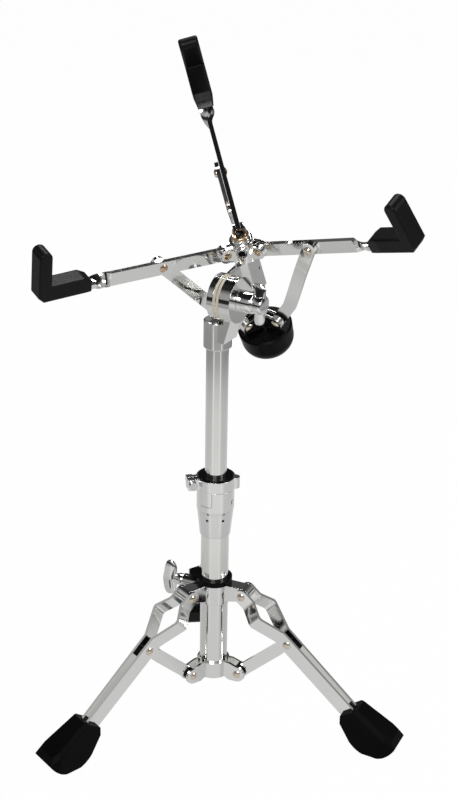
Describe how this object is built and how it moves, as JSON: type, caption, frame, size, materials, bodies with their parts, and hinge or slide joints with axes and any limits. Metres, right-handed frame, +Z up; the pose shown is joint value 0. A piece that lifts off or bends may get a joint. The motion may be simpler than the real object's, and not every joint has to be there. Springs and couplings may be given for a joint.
{
  "type": "snare drum stand",
  "caption": "Chrome snare drum stand with a folding braced tripod, a telescopic post with a memory lock and a tilting three-arm basket with rubber grips and a clamping knob.",
  "frame": {"origin": "the point on the floor below the axis of the post", "axes": "+Z up along the post, -Y towards the front of the stand, +X to the right seen from the front"},
  "size_m": [0.3758, 0.3453, 0.6827],
  "materials": {
    "chrome": "polished chrome on flat steel bars",
    "tube_chrome": "chrome on drawn tube",
    "cast_chrome": "chrome on cast and pressed pieces",
    "black_rubber": "moulded black rubber",
    "black_plastic": "black moulded plastic",
    "nylon": "cream nylon",
    "brass": "plain brass",
    "copper": "copper-coloured plated rivets",
    "steel": "plain zinc-plated steel"
  },
  "bodies": {
    "base": {"lower_tube": "tube_chrome", "spider_plate_front": "chrome", "spider_plate_right": "chrome", "spider_plate_left": "chrome", "spider_rivets": "copper", "spider_bushes": "black_plastic", "tube_joint": "cast_chrome", "joint_bush": "nylon"},
    "joint_wing": {"joint_wing_bolt": "cast_chrome"},
    "leg_collar": {"leg_collar": "cast_chrome", "leg_collar_cap": "black_plastic", "leg_collar_rivets": "copper"},
    "collar_wing": {"leg_collar_wing_bolt": "cast_chrome"},
    "left_leg": {"left_leg_strip_a": "chrome", "left_leg_strip_b": "chrome", "left_leg_spacer": "black_plastic", "left_leg_rivets": "copper", "left_foot": "black_rubber"},
    "left_stay": {"left_stay": "chrome"},
    "right_leg": {"right_leg_strip_a": "chrome", "right_leg_strip_b": "chrome", "right_leg_spacer": "black_plastic", "right_leg_rivets": "copper", "right_foot": "black_rubber"},
    "right_stay": {"right_stay": "chrome"},
    "rear_leg": {"rear_leg_strip_a": "chrome", "rear_leg_strip_b": "chrome", "rear_leg_spacer": "black_plastic", "rear_leg_rivets": "copper", "rear_foot": "black_rubber"},
    "rear_stay": {"rear_stay": "chrome"},
    "upper_post": {"upper_tube": "tube_chrome", "tilter_neck": "cast_chrome", "tilter_washers": "nylon", "tilter_spacer": "chrome", "tilter_bolt": "steel"},
    "tilter_wing": {"tilter_wing_nut": "cast_chrome"},
    "memory_lock": {"memory_lock": "cast_chrome", "memory_lock_bush": "black_plastic"},
    "key_bolt": {"memory_lock_key_bolt": "steel"},
    "basket": {"tilter_bracket": "cast_chrome", "basket_hub": "cast_chrome", "hub_collar": "brass", "basket_rod": "steel", "hub_rivets": "brass"},
    "slider": {"basket_slider": "cast_chrome", "slider_rivets": "copper"},
    "knob": {"basket_knob": "black_plastic"},
    "left_arm": {"left_arm": "chrome", "left_arm_rivet": "brass", "left_grip": "black_rubber"},
    "left_link": {"left_link": "chrome"},
    "right_arm": {"right_arm": "chrome", "right_arm_rivet": "brass", "right_grip": "black_rubber"},
    "right_link": {"right_link": "chrome"},
    "rear_arm": {"rear_arm": "chrome", "rear_arm_rivet": "brass", "rear_grip": "black_rubber"},
    "rear_link": {"rear_link": "chrome"}
  },
  "joints": [
    {"name": "leg_collar_slide", "type": "slide", "parent": "base", "child": "leg_collar", "axis": [0, 0, 1], "range_m": [0, 0.044]},
    {"name": "leg_collar_wing_turn", "type": "hinge", "parent": "leg_collar", "child": "collar_wing", "pos_m": [-0.03106, 0.01383, 0.146], "axis": [-0.9135, 0.4067, 0], "range_deg": [0, 360]},
    {"name": "joint_wing_turn", "type": "hinge", "parent": "base", "child": "joint_wing", "pos_m": [0, 0.027, 0.238], "axis": [0, 1, 0], "range_deg": [0, 360]},
    {"name": "left_leg_fold", "type": "hinge", "parent": "leg_collar", "child": "left_leg", "pos_m": [-0.02791, -0.02028, 0.1475], "axis": [0.5878, -0.809, 0], "range_deg": [0, 38.2]},
    {"name": "left_stay_fold", "type": "hinge", "parent": "base", "child": "left_stay", "pos_m": [-0.02427, -0.01763, 0.0515], "axis": [-0.5878, 0.809, 0], "range_deg": [0, 35.4]},
    {"name": "right_leg_fold", "type": "hinge", "parent": "leg_collar", "child": "right_leg", "pos_m": [0.03152, -0.01403, 0.1475], "axis": [0.4067, 0.9135, 0], "range_deg": [0, 38.2]},
    {"name": "right_stay_fold", "type": "hinge", "parent": "base", "child": "right_stay", "pos_m": [0.02741, -0.0122, 0.0515], "axis": [-0.4067, -0.9135, 0], "range_deg": [0, 35.4]},
    {"name": "rear_leg_fold", "type": "hinge", "parent": "leg_collar", "child": "rear_leg", "pos_m": [-0.00361, 0.03431, 0.1475], "axis": [-0.9945, -0.1045, 0], "range_deg": [0, 38.2]},
    {"name": "rear_stay_fold", "type": "hinge", "parent": "base", "child": "rear_stay", "pos_m": [-0.00314, 0.02984, 0.0515], "axis": [0.9945, 0.1045, 0], "range_deg": [0, 35.4]},
    {"name": "post_height", "type": "slide", "parent": "base", "child": "upper_post", "axis": [0, 0, 1], "range_m": [0, 0.1]},
    {"name": "memory_lock_slide", "type": "slide", "parent": "upper_post", "child": "memory_lock", "axis": [0, 0, 1], "range_m": [0, 0.1]},
    {"name": "key_bolt_turn", "type": "hinge", "parent": "memory_lock", "child": "key_bolt", "pos_m": [-0.02415, -0.00647, 0.2696], "axis": [0.2588, -0.9659, 0], "range_deg": [0, 360]},
    {"name": "tilter_wing_turn", "type": "hinge", "parent": "upper_post", "child": "tilter_wing", "pos_m": [0.02252, -0.013, 0.4684], "axis": [0.866, -0.5, 0], "range_deg": [0, 360]},
    {"name": "basket_tilt", "type": "hinge", "parent": "upper_post", "child": "basket", "pos_m": [0, 0, 0.4684], "axis": [0.866, -0.5, 0], "range_deg": [-26, 25]},
    {"name": "basket_knob_turn", "type": "hinge", "parent": "slider", "child": "knob", "pos_m": [0.0474, 0.0737, 0.40984], "axis": [-0.2192, -0.3796, 0.8988], "range_deg": [-960, 1440]},
    {"name": "slider_travel", "type": "slide", "parent": "basket", "child": "slider", "axis": [-0.2192, -0.3796, 0.8988], "range_m": [-0.00801, 0.01201]},
    {"name": "left_arm_swing", "type": "hinge", "parent": "basket", "child": "left_arm", "pos_m": [0.00623, 0.02328, 0.50271], "axis": [-0.5036, 0.833, 0.229], "range_deg": [-9.68, 14.47]},
    {"name": "left_link_swing", "type": "hinge", "parent": "slider", "child": "left_link", "pos_m": [0.02938, 0.06182, 0.41345], "axis": [-0.5036, 0.833, 0.229], "range_deg": [-2.3, 3.41]},
    {"name": "right_arm_swing", "type": "hinge", "parent": "basket", "child": "right_arm", "pos_m": [0.03923, 0.01978, 0.50928], "axis": [-0.536, -0.7229, -0.436], "range_deg": [-9.68, 14.47]},
    {"name": "right_link_swing", "type": "hinge", "parent": "slider", "child": "right_link", "pos_m": [0.05992, 0.05858, 0.41953], "axis": [-0.536, -0.7229, -0.436], "range_deg": [-2.3, 3.41]},
    {"name": "rear_arm_swing", "type": "hinge", "parent": "basket", "child": "rear_arm", "pos_m": [0.01955, 0.04975, 0.51714], "axis": [0.9609, 0.0756, 0.2663], "range_deg": [-9.68, 14.47]},
    {"name": "rear_link_swing", "type": "hinge", "parent": "slider", "child": "rear_link", "pos_m": [0.04171, 0.08632, 0.4268], "axis": [0.9609, 0.0756, 0.2663], "range_deg": [-2.3, 3.41]}
  ],
  "couplings": [
    {"joint": "left_leg_fold", "follows": "leg_collar_slide", "rad_per_m": 15.12},
    {"joint": "left_stay_fold", "follows": "leg_collar_slide", "rad_per_m": 14.04},
    {"joint": "right_leg_fold", "follows": "leg_collar_slide", "rad_per_m": 15.12},
    {"joint": "right_stay_fold", "follows": "leg_collar_slide", "rad_per_m": 14.04},
    {"joint": "rear_leg_fold", "follows": "leg_collar_slide", "rad_per_m": 15.12},
    {"joint": "rear_stay_fold", "follows": "leg_collar_slide", "rad_per_m": 14.04},
    {"joint": "slider_travel", "follows": "basket_knob_turn", "m_per_rad": 0.00047746},
    {"joint": "left_arm_swing", "follows": "basket_knob_turn", "ratio": 0.0099811},
    {"joint": "left_link_swing", "follows": "basket_knob_turn", "ratio": 0.0022956},
    {"joint": "right_arm_swing", "follows": "basket_knob_turn", "ratio": 0.0099811},
    {"joint": "right_link_swing", "follows": "basket_knob_turn", "ratio": 0.0022956},
    {"joint": "rear_arm_swing", "follows": "basket_knob_turn", "ratio": 0.0099811},
    {"joint": "rear_link_swing", "follows": "basket_knob_turn", "ratio": 0.0022956}
  ]
}
